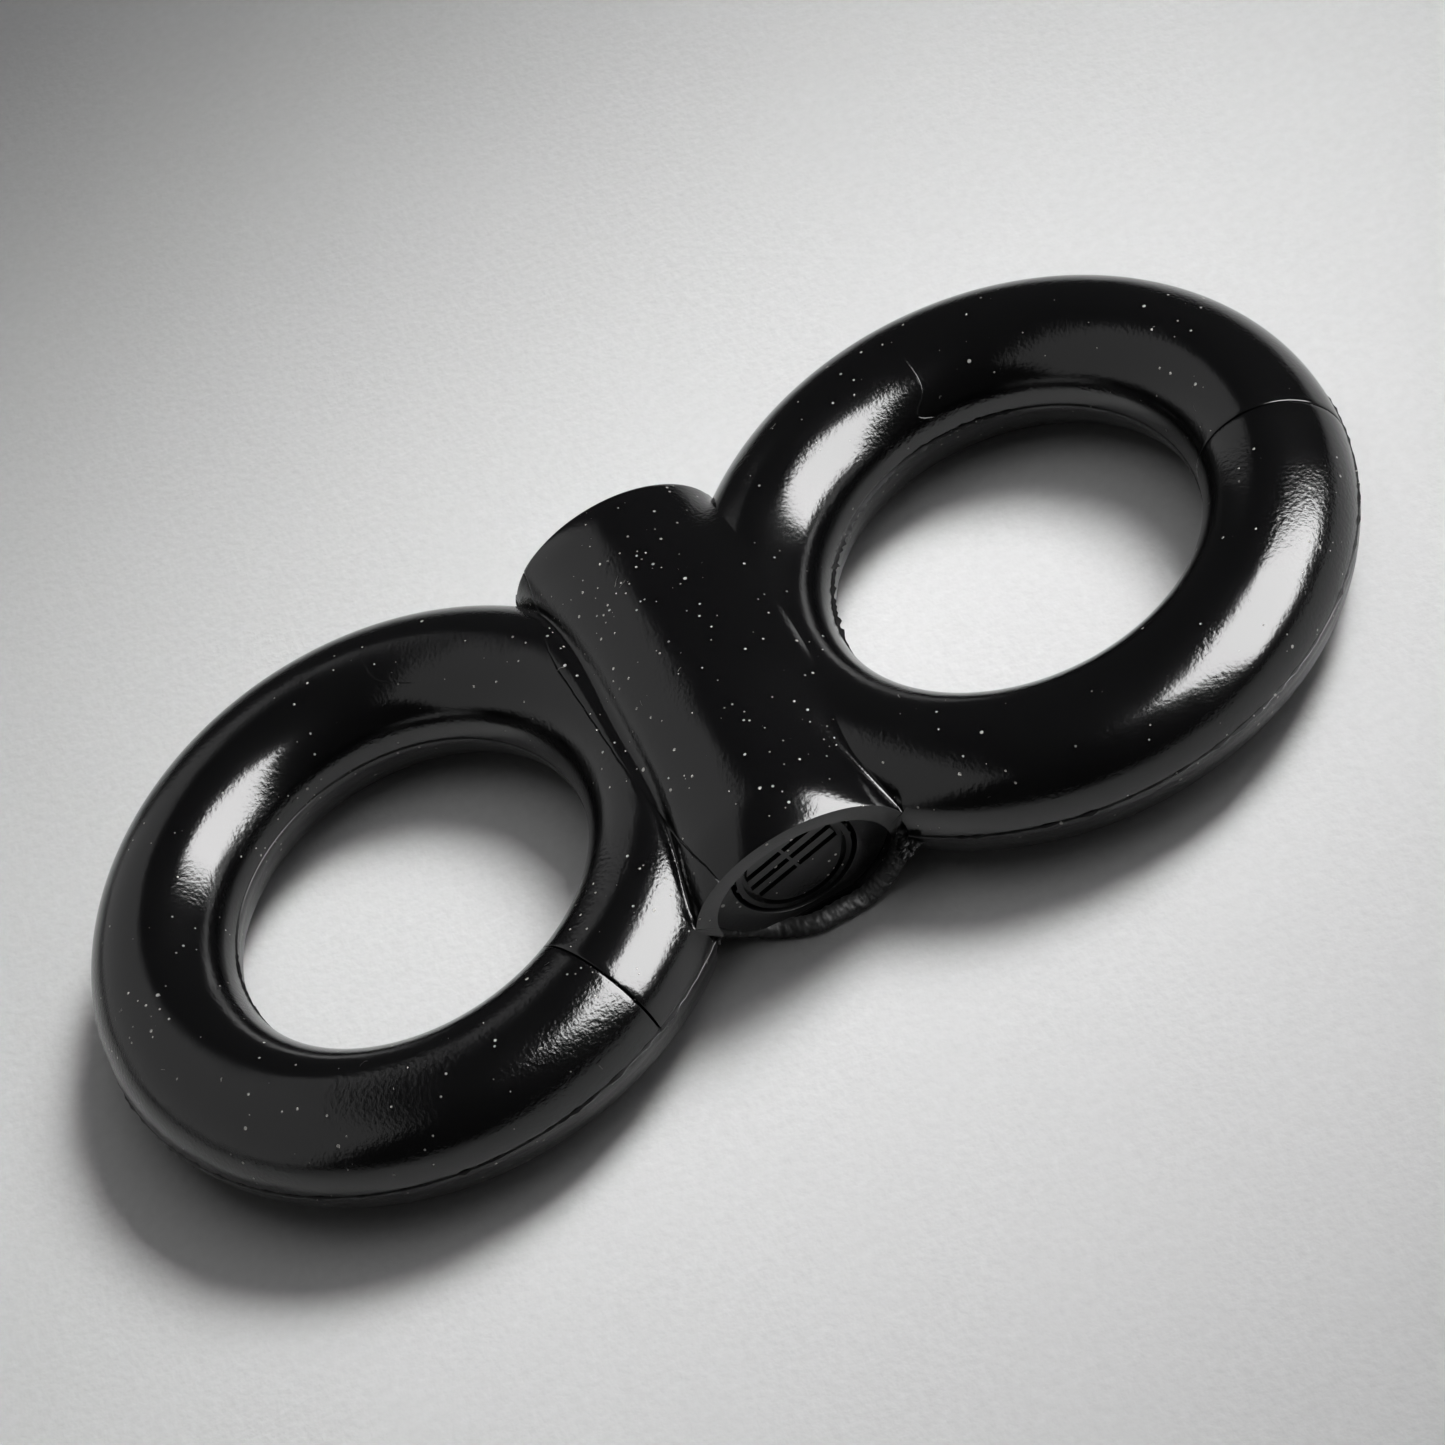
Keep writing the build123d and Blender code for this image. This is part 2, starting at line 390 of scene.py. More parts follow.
def crown_droop(y, sleeve):
    """How far the crown has rolled down at y, towards the mouth and, less, towards the rear."""
    to_mouth = np.clip(1 - (y - sleeve.mouth) / sleeve.droop_length, 0, 1) ** 2
    to_rear = np.clip(1 - (sleeve.rear - y) / (0.7 * sleeve.droop_length), 0, 1) ** 2
    return sleeve.droop * (to_mouth + 0.35 * to_rear)


def flank_at(x, y, sleeve):
    """The crown's half width, which flares at the rear on the left."""
    near_rear = np.clip(1 - (sleeve.rear - y) / sleeve.droop_length, 0, 1) ** 2
    return sleeve.half_width + sleeve.flare * np.where(x < 0, near_rear, 0)


def arch_height(x, y, sleeve):
    """Height of the sleeve's elliptical crown, falling away steeply past its flank."""
    flank = flank_at(x, y, sleeve)
    inside = np.clip(1 - (x / flank) ** 2, 0, None)
    past = np.clip(np.abs(x) - flank, 0, None)
    return sleeve.axis + (sleeve.half_height - crown_droop(y, sleeve)) * np.sqrt(inside) - 14 * past


def ring_height_at(x, y, rings):
    """Height of the nearer ring's upper surface at (x, y), falling away steeply past its edge."""
    from_axis = np.hypot(np.abs(x) - rings.centre, y) - rings.radius
    inside = np.clip(rings.section**2 - from_axis**2, 0, None)
    past = np.clip(np.abs(from_axis) - rings.section, 0, None)
    return rings.section + np.sqrt(inside) - 14 * past


def soft_max(a, b, blend):
    """The larger of two heights, rounded where they are within blend of each other."""
    near = np.clip(blend - np.abs(a - b), 0, None)
    return np.maximum(a, b) + near**2 / (4 * blend)


def ease(t):
    """0 to 1, smoothly."""
    t = np.clip(t, 0, 1)
    return t * t * (3 - 2 * t)


HAIRLINE_Y = np.array([-22.0, -19.5, -15.8, -11.5, -5.4, 3.2, 10.6, 16.7, 19.5, 22.8]) * MM
HAIRLINE_X = np.array([-6.1, -6.9, -7.6, -8.0, -8.8, -9.4, -9.9, -9.2, -8.7, -8.3]) * MM


def hairline_x(y):
    """Where the hairline seam beside the left ring runs: a smooth line with a slight tremor."""
    tremor = 0.02 * MM * np.sin(y / MM * 2.1) + 0.012 * MM * np.sin(y / MM * 5.3 + 1)
    spread = np.linspace(-2.0, 2.0, 9) * MM
    return np.mean([np.interp(y + step, HAIRLINE_Y, HAIRLINE_X) for step in spread], axis=0) + tremor


def saddle_height(x, y, sleeve, rings):
    """Height of the saddle's skin: crown and rings blended, crisply on the left and widely on the right."""
    arch = arch_height(x, y, sleeve)
    ring = ring_height_at(x, y, rings) - 0.000005
    to_mouth = ease((y - sleeve.mouth - 3.5 * MM) / (15 * MM))
    to_rear = ease((sleeve.rear - 1 * MM - y) / (10 * MM))
    web = 0.8 * MM + (sleeve.web - 0.8 * MM) * to_mouth * (0.1 + 0.9 * to_rear)
    blend = np.where(x < 0, sleeve.crease, web)
    beside = (x - hairline_x(y)) / MM
    groove = sleeve.hairline * np.exp(-((beside / 0.055) ** 2))
    step = sleeve.proud * ease(beside / 0.1) * (1 - ease((beside - 0.3) / 2.5))
    meeting = np.where(x < 0, np.exp(-(((arch - ring) / (0.8 * MM)) ** 2)), 0)
    fade = ease((y - sleeve.mouth - 1 * MM) / (5 * MM))
    return soft_max(arch, ring, blend) + step * fade - groove - sleeve.valley * meeting * fade


def set_back(x):
    """How far the mouth's lower edge is torn back towards its left end."""
    return 2.7 * MM * float(ease(-x / (7 * MM)))


class DOUBLERING_OT_ring_shells(bpy.types.Operator):
    """Upper and lower shell of each ring, with butt seams, the parting line, its land and rough flash"""

    bl_idname = "double_ring.ring_shells"
    bl_label = "Ring shells"

    def execute(self, context):
        for side in SIDES:
            for half in ("upper", "lower"):
                shell = self.shell(context.scene, side, half)
                finish = finish_for("ring_elastomer" if half == "upper" else "underside_elastomer")
                hand_over(shell, "ring_body", "ring_elastomer", finish, f"{side}_ring_{half}_shell")
        return {"FINISHED"}

    def shell(self, scene, side, half):
        """Spins the half section round the ring's axis from one end of its gap to the other."""
        rings, sleeve = scene.ring_sizes, scene.ring_sleeve
        upper = half == "upper"
        centre = Vector((SIDES[side] * rings.centre, 0, rings.section))
        hub = 0.0 if side == "left" else pi
        seam = rings.left_seam if side == "left" else rings.right_seam
        gap = rings.seam / rings.radius if upper else 0.004
        piece = start(
            bpy.ops.mesh.primitive_circle_add,
            vertices=120,
            radius=rings.section,
            fill_type="NGON",
            location=centre + Vector((rings.radius, 0, 0)),
            rotation=(pi / 2, 0, 0),
        )
        middle = centre + Vector((rings.radius, 0, 0))
        self.half_section(piece, middle, rings, upper)
        turn = (seam if upper else hub) + gap / 2
        bpy.ops.mesh.select_all(action="SELECT")
        move_points(piece, lambda co, _: centre + Matrix.Rotation(turn, 3, "Z") @ (co - centre))
        bpy.ops.mesh.select_all(action="SELECT")
        bpy.ops.mesh.spin(steps=288, angle=2 * pi - gap, center=centre, axis=(0, 0, 1))
        bpy.ops.mesh.select_all(action="SELECT")
        bpy.ops.mesh.remove_doubles(threshold=1e-7)
        self.close_ends(piece)
        if upper:
            self.soften_seam(piece, centre, rings)
        if not upper:
            self.rough_flash(piece, side, centre, rings)
        close(piece, f"{side}_ring_{half}_look")
        cut_away(piece, self.hub_cutter(sleeve, side))
        only(piece)
        bpy.ops.object.shade_smooth_by_angle(angle=radians(35))
        return piece

    def half_section(self, piece, middle, rings, upper):
        """Half of a round section with the hoop's channel, its parting edges rounded or carrying the land."""
        bpy.ops.mesh.select_all(action="SELECT")
        bpy.ops.mesh.inset(thickness=rings.section - rings.channel)
        bpy.ops.mesh.delete(type="FACE")
        bpy.ops.mesh.select_all(action="SELECT")
        up = 1 if upper else -1
        bpy.ops.mesh.bisect(plane_co=middle, plane_no=(0, 0, up), clear_inner=True)
        outer = lambda point: abs((point.co - middle).length - rings.section) < 0.02 * MM
        if not upper:
            pick(piece, lambda point: outer(point) and middle.z - point.co.z < rings.land)
            grow = 1 + rings.land_proud / rings.section
            bpy.ops.transform.resize(value=(grow, 1, 1), center_override=middle)
            outer = lambda point: abs(point.co.x - middle.x) > rings.section
        pick(piece, lambda point: outer(point) and abs(point.co.z - middle.z) < 0.001 * MM)
        bpy.ops.mesh.bevel(offset=rings.edge if upper else rings.edge * 0.5, segments=4, affect="VERTICES")

    def close_ends(self, piece):
        """Fills the ends that the spin leaves open, if it does."""
        pick(piece, lambda edge: edge.is_boundary, "EDGE")
        mesh = bmesh.from_edit_mesh(piece.data)
        if any(edge.select for edge in mesh.edges):
            bpy.ops.mesh.edge_face_add()

    def soften_seam(self, piece, centre, rings):
        """Breaks the sharp outer edges of the butt seam, and of nothing else."""

        def from_middle(co):
            off = Vector((co.x - centre.x, co.y, 0)).length - rings.radius
            return Vector((off, co.z - centre.z)).length

        def on_seam(edge):
            outer = all(from_middle(v.co) > rings.section - 0.3 * MM for v in edge.verts)
            above = any(v.co.z > centre.z + 0.3 * MM for v in edge.verts)
            return outer and above and edge.is_manifold and edge.calc_face_angle() > radians(60)

        pick(piece, on_seam, "EDGE")
        bpy.ops.mesh.bevel(offset=0.11 * MM, segments=3, affect="EDGES")

    def rough_flash(self, piece, side, centre, rings):
        """Pulls the parting edge out into a thin, torn fin where the mould didn't close."""
        right = side == "right"
        inner_from, inner_to = (radians(60), radians(185)) if right else (radians(150), radians(200))
        share, seed = (0.62, 3.1) if right else (0.2, 7.7)
        skin = 0.12 * MM

        def place(co, _):
            out = co - centre
            around = np.arctan2(out.y, out.x) % (2 * pi)
            radial = Vector((out.x, out.y, 0))
            depth = -out.z
            if depth > skin or radial.length < 1e-6:
                return co
            off = radial.length - rings.radius
            if abs(off) < rings.section * 0.985:
                return co
            torn = abs(noise.fractal(Vector((around * 26, 0.4, seed)), 0.7, 2.3, 6))
            if off < 0:
                opening = ease(np.array((around - inner_from) / 0.25))
                window = opening * ease(np.array((inner_to - around) / 0.25))
                reach = rings.flash * float(window) * min(1.6, 0.2 + 2.4 * torn) * share
            else:
                reach = 0.16 * MM * max(0.0, torn - 0.12) * 2.5
            fade = 1 - depth / skin
            moved = co + radial.normalized() * (1 if off > 0 else -1) * reach * fade
            return within(moved, cad_box)

        move_points(piece, place)

    def hub_cutter(self, sleeve, side):
        """Takes the ring out of the bore: past the hairline on the left, inside the skin on the right."""
        inset = (-1.7 if side == "left" else 0.55) * MM
        spare = (-0.1 if side == "left" else 0.6) * MM
        length_y = sleeve.rear - sleeve.mouth + spare
        cutter = start(
            bpy.ops.mesh.primitive_cylinder_add,
            vertices=96,
            radius=1,
            depth=length_y,
            location=(0, (sleeve.rear + sleeve.mouth) / 2, sleeve.axis),
            rotation=(pi / 2, 0, 0),
        )
        bpy.ops.mesh.select_all(action="SELECT")
        bpy.ops.transform.resize(
            value=(sleeve.half_width - inset, 1, sleeve.half_height - inset),
            center_override=(0, 0, sleeve.axis),
        )
        bpy.ops.object.mode_set(mode="OBJECT")
        return cutter


class DOUBLERING_OT_saddle(bpy.types.Operator):
    """The saddle over the sleeve, blended into both rings, with a rounded rim at each end"""

    bl_idname = "double_ring.saddle"
    bl_label = "Saddle"
    across, along = 210, 132

    def execute(self, context):
        sleeve, rings = context.scene.ring_sleeve, context.scene.ring_sizes
        piece = start(
            bpy.ops.mesh.primitive_grid_add, x_subdivisions=self.across, y_subdivisions=self.along, size=2
        )
        xs, ys = self.stations(sleeve)
        outer = self.skin(xs, ys, sleeve, rings)
        inner = self.lining(xs, ys, sleeve)
        mesh = bmesh.from_edit_mesh(piece.data)
        column = mesh.verts.layers.int.new("column")
        row = mesh.verts.layers.int.new("row")
        for point in mesh.verts:
            point[column] = round((point.co.x + 1) / 2 * self.across)
            point[row] = round((point.co.y + 1) / 2 * self.along)
            point.co = outer[point[column], point[row]]
        bmesh.update_edit_mesh(piece.data)
        bpy.ops.mesh.select_all(action="SELECT")
        bpy.ops.mesh.extrude_region()
        mesh = bmesh.from_edit_mesh(piece.data)
        column = mesh.verts.layers.int["column"]
        row = mesh.verts.layers.int["row"]
        for point in mesh.verts:
            if point.select:
                point.co = inner[point[column], point[row]]
        bmesh.update_edit_mesh(piece.data)
        self.round_rims(piece, sleeve)
        close(piece, "saddle_look", smooth=40)
        finish = finish_for("sleeve_elastomer")
        hand_over(piece, "ring_body", "sleeve_elastomer", finish, "sleeve_upper_shell")
        return {"FINISHED"}

    def stations(self, sleeve):
        """Rows with room for the rims, and in each row columns that close up round the hairline."""
        room = 0.42 * MM
        between = np.linspace(sleeve.mouth + room, sleeve.rear - room * 1.6, self.along - 1)
        ys = np.concatenate([[sleeve.mouth], between, [sleeve.rear]])
        past = np.linspace(0, 1, 17)[1:] ** 1.5 * 1.5 * MM
        cluster = np.array([-0.2, -0.13, -0.08, -0.04, 0, 0.04, 0.08, 0.13, 0.2]) * MM
        right = sleeve.half_width * np.sin(np.linspace(0, pi / 2, 79))
        rows = []
        for y in ys:
            seam = hairline_x(y)
            edge = max(-1.0, (seam + 0.2 * MM) / sleeve.half_width)
            left = sleeve.half_width * np.sin(np.linspace(np.arcsin(edge), 0, 68))[1:-1]
            spare = self.across + 1 - len(right) - len(past) - len(cluster) - len(left)
            outer_turn = np.linspace(0, 1, spare + 1)[:-1]
            start_x = -(sleeve.half_width + 2.4 * MM)
            outside = start_x + (seam - 0.2 * MM - start_x) * outer_turn
            rows.append(np.concatenate([outside, seam + cluster, left, right, sleeve.half_width + past]))
        return np.array(rows).T, ys

    def skin(self, xs, ys, sleeve, rings):
        """The outer skin's points, with the hairline seam pressed in."""
        x, y = xs, np.broadcast_to(ys, xs.shape)
        z = saddle_height(x, y, sleeve, rings)
        return {(i, j): (x[i, j], y[i, j], z[i, j]) for i in range(xs.shape[0]) for j in range(len(ys))}

    def lining(self, xs, ys, sleeve):
        """The wall's inside: a smaller ellipse, thicker at the mouth's feet, down to the parting height."""
        found = {}
        for j, y in enumerate(ys):
            foot = sleeve.foot * float(ease(1 - (y - sleeve.mouth) / (2.4 * MM)))
            wide = sleeve.half_width - sleeve.wall - foot
            high = sleeve.half_height - sleeve.wall - float(crown_droop(y, sleeve))
            for i, x in enumerate(xs[:, j]):
                turn = np.arcsin(min(1.0, max(-1.0, x / sleeve.half_width)))
                past = max(0.0, abs(x) - sleeve.half_width)
                below = min(1.0, past / (1.4 * MM)) * 1.01 * MM
                found[i, j] = (wide * sin(turn), y, sleeve.axis + high * cos(turn) - below)
        return found

    def round_rims(self, piece, sleeve):
        """Rounds the mouth's rim and, more, the rear one."""
        for edge_y, offset in ((sleeve.mouth, sleeve.rim), (sleeve.rear, sleeve.rim * 1.7)):
            on_edge = lambda edge: all(
                abs(v.co.y - edge_y) < 1e-7 and abs(v.co.x) < sleeve.half_width - 0.3 * MM for v in edge.verts
            )
            long_edge = lambda edge: on_edge(edge) and any(
                abs(face.normal.y) < 0.5 for face in edge.link_faces
            )
            pick(piece, long_edge, "EDGE")
            bpy.ops.mesh.bevel(offset=offset, segments=4, affect="EDGES", clamp_overlap=True)


class DOUBLERING_OT_underside(bpy.types.Operator):
    """The sleeve's flattened lower half"""

    bl_idname = "double_ring.underside"
    bl_label = "Sleeve underside"

    def execute(self, context):
        sleeve, rings = context.scene.ring_sleeve, context.scene.ring_sizes
        front = sleeve.mouth + 0.5 * MM
        piece = start(
            bpy.ops.mesh.primitive_cylinder_add,
            vertices=128,
            radius=1,
            depth=sleeve.rear - front,
            end_fill_type="NGON",
            location=(0, (sleeve.rear + front) / 2, sleeve.axis),
            rotation=(pi / 2, 0, 0),
        )
        bpy.ops.mesh.select_all(action="SELECT")
        bpy.ops.transform.resize(
            value=(sleeve.half_width, 1, sleeve.half_height), center_override=(0, 0, sleeve.axis)
        )
        bpy.ops.mesh.select_all(action="SELECT")
        bpy.ops.mesh.bisect(
            plane_co=(0, 0, rings.section), plane_no=(0, 0, -1), clear_inner=True, use_fill=False
        )
        bpy.ops.mesh.select_all(action="SELECT")
        bpy.ops.mesh.bisect(plane_co=(0, 0, 0.02 * MM), plane_no=(0, 0, 1), clear_inner=True, use_fill=True)
        pick(piece, lambda face: abs(face.normal.y) > 0.9, "FACE")
        bpy.ops.mesh.delete(type="FACE")
        at_front = lambda co: co.y < front + 0.01 * MM
        move_points(piece, lambda co, _: co + Vector((0, set_back(co.x) if at_front(co) else 0, 0)))
        bpy.ops.mesh.select_all(action="SELECT")
        bpy.ops.mesh.remove_doubles(threshold=1e-7)
        bpy.ops.mesh.normals_make_consistent(inside=False)
        bpy.ops.object.mode_set(mode="OBJECT")
        wall = piece.modifiers.new("wall", "SOLIDIFY")
        wall.thickness, wall.offset, wall.use_even_offset = sleeve.wall, -1, True
        bpy.ops.object.modifier_apply(modifier=wall.name)
        soften_edges(piece, 0.25 * MM, radians(40))
        bpy.ops.object.mode_set(mode="EDIT")
        bpy.ops.mesh.select_all(action="SELECT")
        close(piece, "underside_look")
        finish = finish_for("sleeve_elastomer")
        hand_over(piece, "ring_body", "sleeve_elastomer", finish, "sleeve_lower_shell")
        return {"FINISHED"}


class DOUBLERING_OT_mouth_lip(bpy.types.Operator):
    """The rough, thick strip along the mouth's lower edge"""

    bl_idname = "double_ring.mouth_lip"
    bl_label = "Mouth lip"

    def execute(self, context):
        sleeve = context.scene.ring_sleeve
        steps, around = 260, 28
        piece = start(bpy.ops.mesh.primitive_grid_add, x_subdivisions=steps, y_subdivisions=around, size=2)
        inset = 0.85 * MM

        def place(co, _):
            t, u = (co.x + 1) / 2, (co.y + 1) / 2
            turn = pi + t * pi
            path = Vector(
                (
                    (sleeve.half_width - inset) * cos(turn),
                    0,
                    max(sleeve.axis + (sleeve.half_height - inset) * sin(turn), 0.95 * MM),
                )
            )
            path.z -= 0.5 * MM * (1 - abs(sin(turn)))
            out = Vector((cos(turn), 0, sin(turn) * 1.1)).normalized()
            roll = u * 2 * pi
            lump = noise.fractal(Vector((t * 55, cos(roll) * 1.6, sin(roll) * 1.6)), 0.8, 2.1, 5)
            thick = (0.9 + 0.1 * lump) * MM
            deep = (0.98 + 0.13 * lump) * MM
            y = sleeve.mouth + 1.02 * MM + set_back(path.x) - sin(roll) * deep * 0.92
            on_path = Vector((path.x, max(y, sleeve.mouth), path.z))
            return within(on_path + out * cos(roll) * thick, cad_box)

        move_points(piece, place)
        bpy.ops.mesh.select_all(action="SELECT")
        bpy.ops.mesh.remove_doubles(threshold=2e-6)
        pick(piece, lambda edge: edge.is_boundary, "EDGE")
        bpy.ops.mesh.fill_holes(sides=0)
        close(piece, "mouth_lip_look", smooth=60)
        hand_over(piece, "ring_body", "sleeve_elastomer", finish_for("lip_elastomer"), "mouth_lip")
        return {"FINISHED"}


class DOUBLERING_OT_liner(bpy.types.Operator):
    """The round-bored block inside the sleeve, its front and rear edges broken"""

    bl_idname = "double_ring.liner"
    bl_label = "Sleeve liner"

    def execute(self, context):
        sleeve = context.scene.ring_sleeve
        low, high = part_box("sleeve_liner")
        bore = 5.86 * MM
        piece = start(
            bpy.ops.mesh.primitive_cylinder_add,
            vertices=128,
            radius=1,
            depth=high.y - low.y,
            location=(0, (high.y + low.y) / 2, sleeve.axis),
            rotation=(pi / 2, 0, 0),
        )
        inset = sleeve.wall + 0.05 * MM
        bpy.ops.mesh.select_all(action="SELECT")
        bpy.ops.transform.resize(
            value=(sleeve.half_width - inset, 1, sleeve.half_height - inset),
            center_override=(0, 0, sleeve.axis),
        )
        bpy.ops.mesh.bisect(plane_co=(0, 0, low.z), plane_no=(0, 0, 1), clear_inner=True, use_fill=True)
        bpy.ops.object.mode_set(mode="OBJECT")
        cutter = start(
            bpy.ops.mesh.primitive_cylinder_add,
            vertices=128,
            radius=bore,
            depth=high.y - low.y + 4 * MM,
            location=(0, (high.y + low.y) / 2, sleeve.axis),
            rotation=(pi / 2, 0, 0),
        )
        bpy.ops.object.mode_set(mode="OBJECT")
        cut_away(piece, cutter)
        only(piece)
        soften_edges(piece, 0.2 * MM, radians(50))
        bpy.ops.object.mode_set(mode="EDIT")
        close(piece, "liner_look")
        hand_over(piece, "ring_body", "liner_plastic", finish_for("liner_plastic"), "sleeve_liner")
        return {"FINISHED"}


class DOUBLERING_OT_witness_lines(bpy.types.Operator):
    """Fine raised lines that curl across each ring's back"""

    bl_idname = "double_ring.witness_lines"
    bl_label = "Witness lines"
    lines = {
        "left": (
            *((77.2, 3.4), (76.6, 1.6), (75.9, -0.6), (75.0, -2.0), (73.6, -3.1)),
            *((71.2, -3.5), (68.5, -3.8), (65.8, -4.0), (63.1, -4.1)),
        ),
        "right": (
            *((89.6, 3.6), (89.2, 2.3), (88.6, 0.2), (88.0, -1.6), (87.4, -3.2), (87.1, -4.4)),
            *((88.2, -5.3), (91.4, -5.75), (92.6, -6.1), (90.6, -6.3), (88.2, -6.4)),
        ),
    }

    def execute(self, context):
        rings = context.scene.ring_sizes
        for side, marks in self.lines.items():
            centre = Vector((SIDES[side] * rings.centre, 0, rings.section))
            route = [self.on_ring(radians(around), off * MM, centre, rings) for around, off in marks]
            line = self.bead(route, f"{side}_witness_line")
            hand_over(line, "ring_body", "ring_elastomer", finish_for("ring_elastomer"))
        return {"FINISHED"}

    def on_ring(self, around, off, centre, rings):
        """A point on the ring's upper surface, by its angle and its distance from the middle circle."""
        reach = rings.radius + off
        return centre + Vector((reach * cos(around), reach * sin(around), sqrt(rings.section**2 - off**2)))

    def bead(self, route, name):
        """A round bead a tenth of a millimetre wide, sunk to its middle, tapering to nothing at its ends."""
        data = bpy.data.curves.new(name, "CURVE")
        data.dimensions, data.bevel_depth, data.bevel_resolution, data.resolution_u = "3D", 0.065 * MM, 2, 6
        data.use_fill_caps = True
        spline = data.splines.new("NURBS")
        spline.points.add(len(route) - 1)
        for i, (point, co) in enumerate(zip(spline.points, route)):
            point.co = (*co, 1)
            point.radius = 0.25 if i in (0, len(route) - 1) else 1
        spline.order_u, spline.use_endpoint_u = 3, True
        line = bpy.data.objects.new(name, data)
        bpy.context.scene.collection.objects.link(line)
        only(line)
        bpy.ops.object.convert(target="MESH")
        bpy.ops.object.shade_smooth()
        return bpy.context.object


class DOUBLERING_OT_mouth_flash(bpy.types.Operator):
    """Torn tabs of flash where the rings' parting lines run into the mouth's feet"""

    bl_idname = "double_ring.mouth_flash"
    bl_label = "Mouth flash"

    def execute(self, context):
        spots = {
            "right_mouth_flash": ((9.5, -22.3, 6.1), (1.35, 1.0, 0.4), 35, 5.0),
            "left_mouth_flash": ((-9.4, -20.9, 6.3), (0.9, 1.0, 0.4), -40, 11.0),
        }
        for name, (centre, spread, turn, seed) in spots.items():
            piece = start(bpy.ops.mesh.primitive_ico_sphere_add, subdivisions=5, radius=1)
            around = Matrix.Rotation(radians(turn), 3, "Z")

            def place(co, _):
                torn = noise.fractal(co * 1.7 + Vector((seed, 0, 0)), 0.9, 2.1, 6)
                size = Vector([c * MM for c in spread])
                flat = Vector((co.x * size.x, co.y * size.y, co.z * size.z)) * (1 + 0.55 * torn)
                return around @ flat + Vector(centre) * MM

            move_points(piece, place)
            close(piece, name, smooth=50)
            hand_over(piece, "ring_body", "ring_elastomer", finish_for("flash_elastomer"))
        return {"FINISHED"}


class DOUBLERING_OT_hidden_parts(bpy.types.Operator):
    """Finishes for the insert, its seals and the stiffening hoops, which keep their own shapes"""

    bl_idname = "double_ring.hidden_parts"
    bl_label = "Insert and hoops"

    def execute(self, context):
        slots = {
            "left_ring_core": "core_elastomer",
            "right_ring_core": "core_elastomer",
            "insert_barrel": "insert_plastic",
            "insert_cap": "insert_plastic",
            "insert_end_plug": "insert_plastic",
            "cap_seal": "seal_rubber",
            "end_seal": "seal_rubber",
        }
        for node, slot in slots.items():
            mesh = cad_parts[node].data
            mesh.materials.clear()
            mesh.materials.append(finish_for(slot))
        return {"FINISHED"}


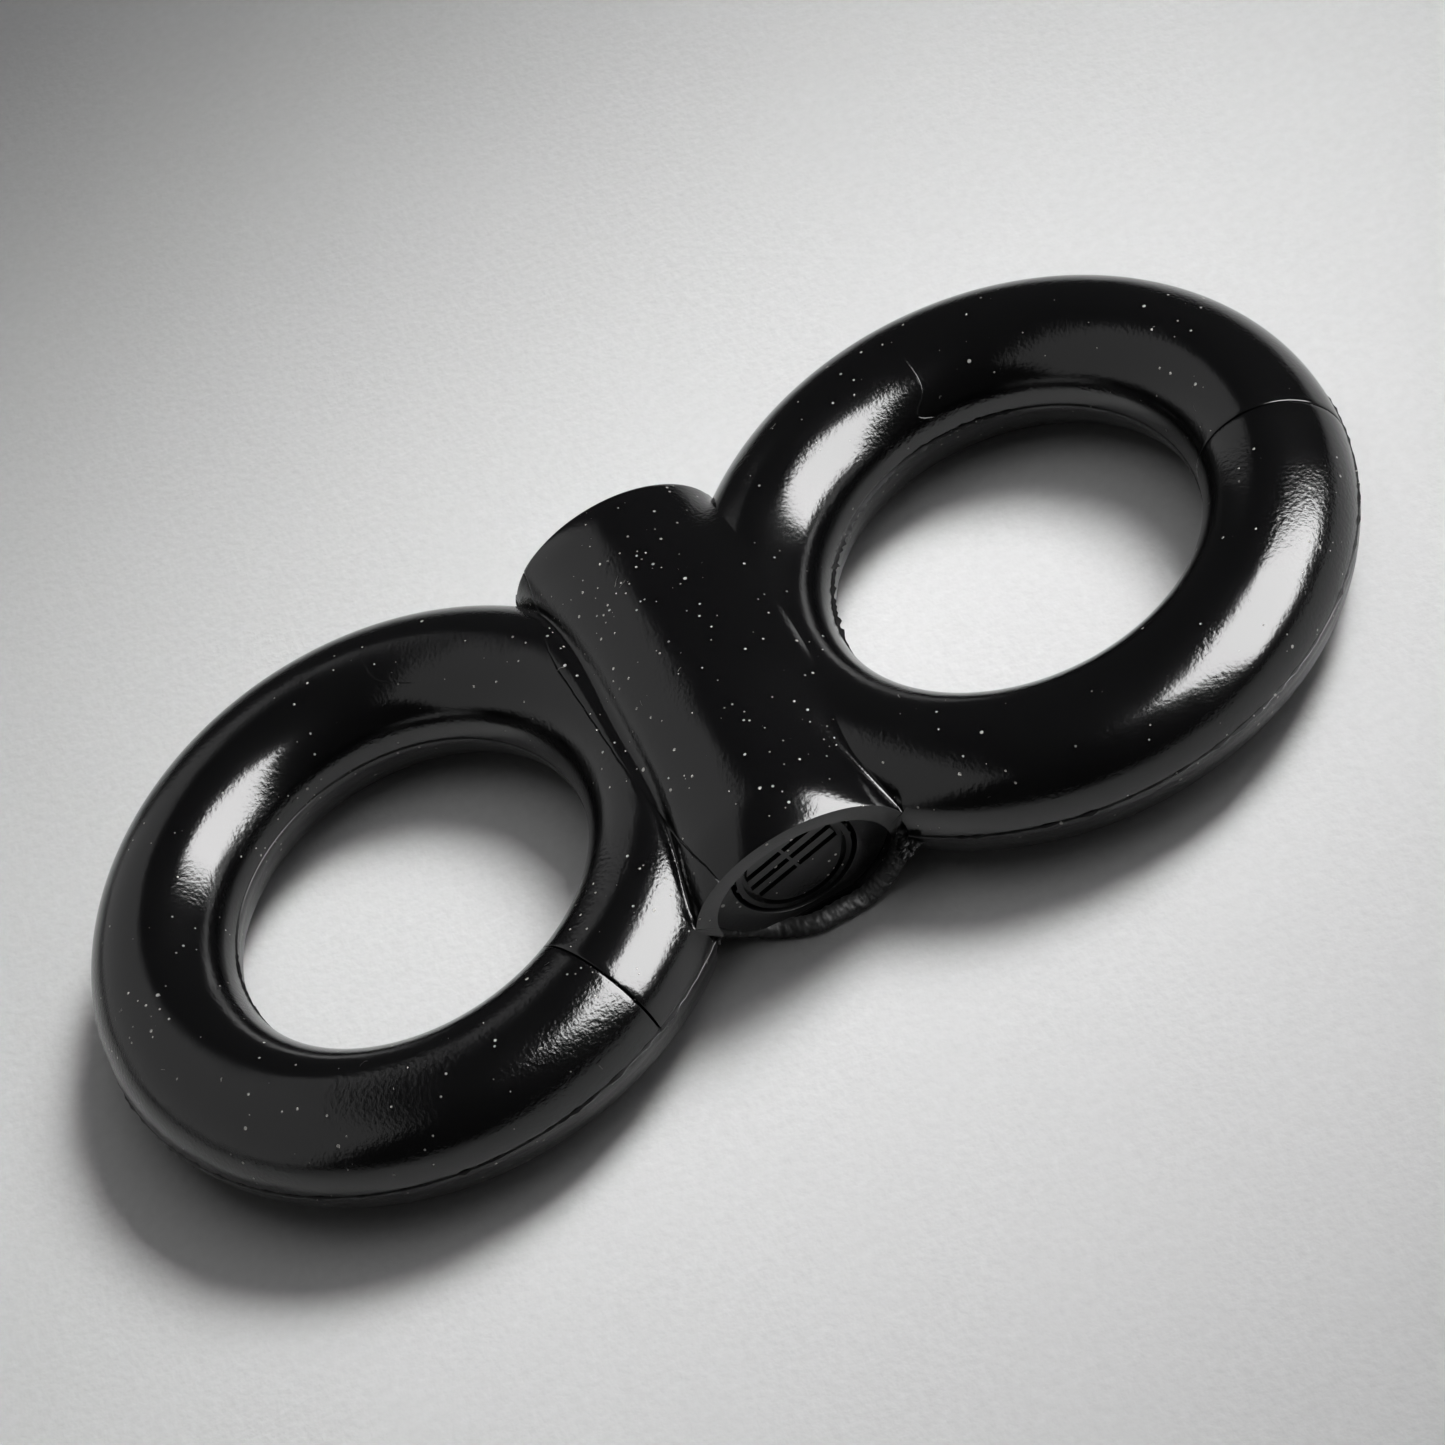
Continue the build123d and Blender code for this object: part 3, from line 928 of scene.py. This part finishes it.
class DOUBLERING_OT_studio(bpy.types.Operator):
    """Pale floor, soft lights and the camera"""

    bl_idname = "double_ring.studio"
    bl_label = "Studio"

    def execute(self, context):
        studio = context.scene.ring_studio
        bpy.ops.object.select_all(action="DESELECT")
        bpy.ops.mesh.primitive_plane_add(size=4.0, location=(0, 0, 0))
        floor = context.object
        floor.name = "floor"
        floor.data.materials.append(paper("floor_paper", studio.floor))
        self.camera(context.scene, studio)
        world = context.scene.world or bpy.data.worlds.new("studio_world")
        context.scene.world = world
        world.use_nodes = True
        background = world.node_tree.nodes["Background"]
        background.inputs["Color"].default_value = (1, 1, 1, 1)
        background.inputs["Strength"].default_value = studio.ambient
        self.panel("key_reflection", 113, 40, 0.9, 50, 50, 12.5, only_gloss=True)
        self.panel("fill_reflection", -71, 34, 0.9, 100, 66, 0.4, only_gloss=True)
        key = self.panel("key_light", 66, 48, 0.42, 24, 24, 1.45, only_gloss=False)
        key.data.spread = radians(34)
        self.panel("overhead_light", 66, 80, 0.5, 50, 50, 0.72, only_gloss=False)
        context.scene.view_settings.view_transform = "Standard"
        return {"FINISHED"}

    def camera(self, scene, studio):
        """Camera from its heading, tilt, roll and place."""
        data = bpy.data.cameras.new("camera")
        data.lens, data.sensor_width = studio.lens, 36
        data.clip_start = 0.01
        camera = bpy.data.objects.new("camera", data)
        scene.collection.objects.link(camera)
        turn = (
            Matrix.Rotation(studio.heading, 4, "Z")
            @ Matrix.Rotation(studio.tilt, 4, "X")
            @ Matrix.Rotation(studio.roll, 4, "Z")
        )
        camera.matrix_world = Matrix.Translation(studio.place) @ turn
        scene.camera = camera

    def panel(self, name, azimuth, elevation, distance, wide, high, radiance, only_gloss):
        """A rectangular light that faces the object and spans wide by high degrees, seen from it."""
        az, el = radians(azimuth), radians(elevation)
        towards = Vector((sin(az) * cos(el), cos(az) * cos(el), sin(el)))
        data = bpy.data.lights.new(name, "AREA")
        data.shape = "RECTANGLE"
        data.size = 2 * distance * tan(radians(wide) / 2)
        data.size_y = 2 * distance * tan(radians(high) / 2)
        data.energy = radiance * 4 * data.size * data.size_y
        light = bpy.data.objects.new(name, data)
        bpy.context.scene.collection.objects.link(light)
        facing = towards.to_track_quat("Z", "Y").to_matrix().to_4x4()
        light.matrix_world = Matrix.Translation(towards * distance) @ facing
        light.visible_diffuse = not only_gloss
        light.visible_glossy = only_gloss
        if only_gloss:
            light.visible_transmission = light.visible_volume_scatter = False
        return light


BUILD_ORDER = (
    DOUBLERING_OT_ring_shells,
    DOUBLERING_OT_saddle,
    DOUBLERING_OT_underside,
    DOUBLERING_OT_mouth_lip,
    DOUBLERING_OT_liner,
    DOUBLERING_OT_witness_lines,
    DOUBLERING_OT_mouth_flash,
    DOUBLERING_OT_hidden_parts,
    DOUBLERING_OT_studio,
)


class DOUBLERING_PT_build(bpy.types.Panel):
    """Lists the sizes and the build steps"""

    bl_label = "Double Ring"
    bl_idname = "DOUBLERING_PT_build"
    bl_space_type = "VIEW_3D"
    bl_region_type = "UI"
    bl_category = "Double Ring"

    def draw(self, context):
        scene = context.scene
        for group in (scene.ring_sizes, scene.ring_sleeve, scene.ring_finish, scene.ring_studio):
            box = self.layout.box()
            for name in group.__annotations__:
                box.prop(group, name)
        for step in BUILD_ORDER:
            self.layout.operator(step.bl_idname)


GROUPS = {
    "ring_sizes": RingSizes,
    "ring_sleeve": SleeveSizes,
    "ring_finish": FinishSizes,
    "ring_studio": StudioSizes,
}


def register():
    for group in GROUPS.values():
        bpy.utils.register_class(group)
    for name, group in GROUPS.items():
        setattr(bpy.types.Scene, name, bpy.props.PointerProperty(type=group))
    for step in (*BUILD_ORDER, DOUBLERING_PT_build):
        bpy.utils.register_class(step)


def unregister():
    for step in reversed((*BUILD_ORDER, DOUBLERING_PT_build)):
        bpy.utils.unregister_class(step)
    for name in GROUPS:
        delattr(bpy.types.Scene, name)
    for group in reversed(list(GROUPS.values())):
        bpy.utils.unregister_class(group)


def main():
    register()
    for step in BUILD_ORDER:
        family, name = step.bl_idname.split(".")
        getattr(getattr(bpy.ops, family), name)()


if __name__ == "__main__":
    main()
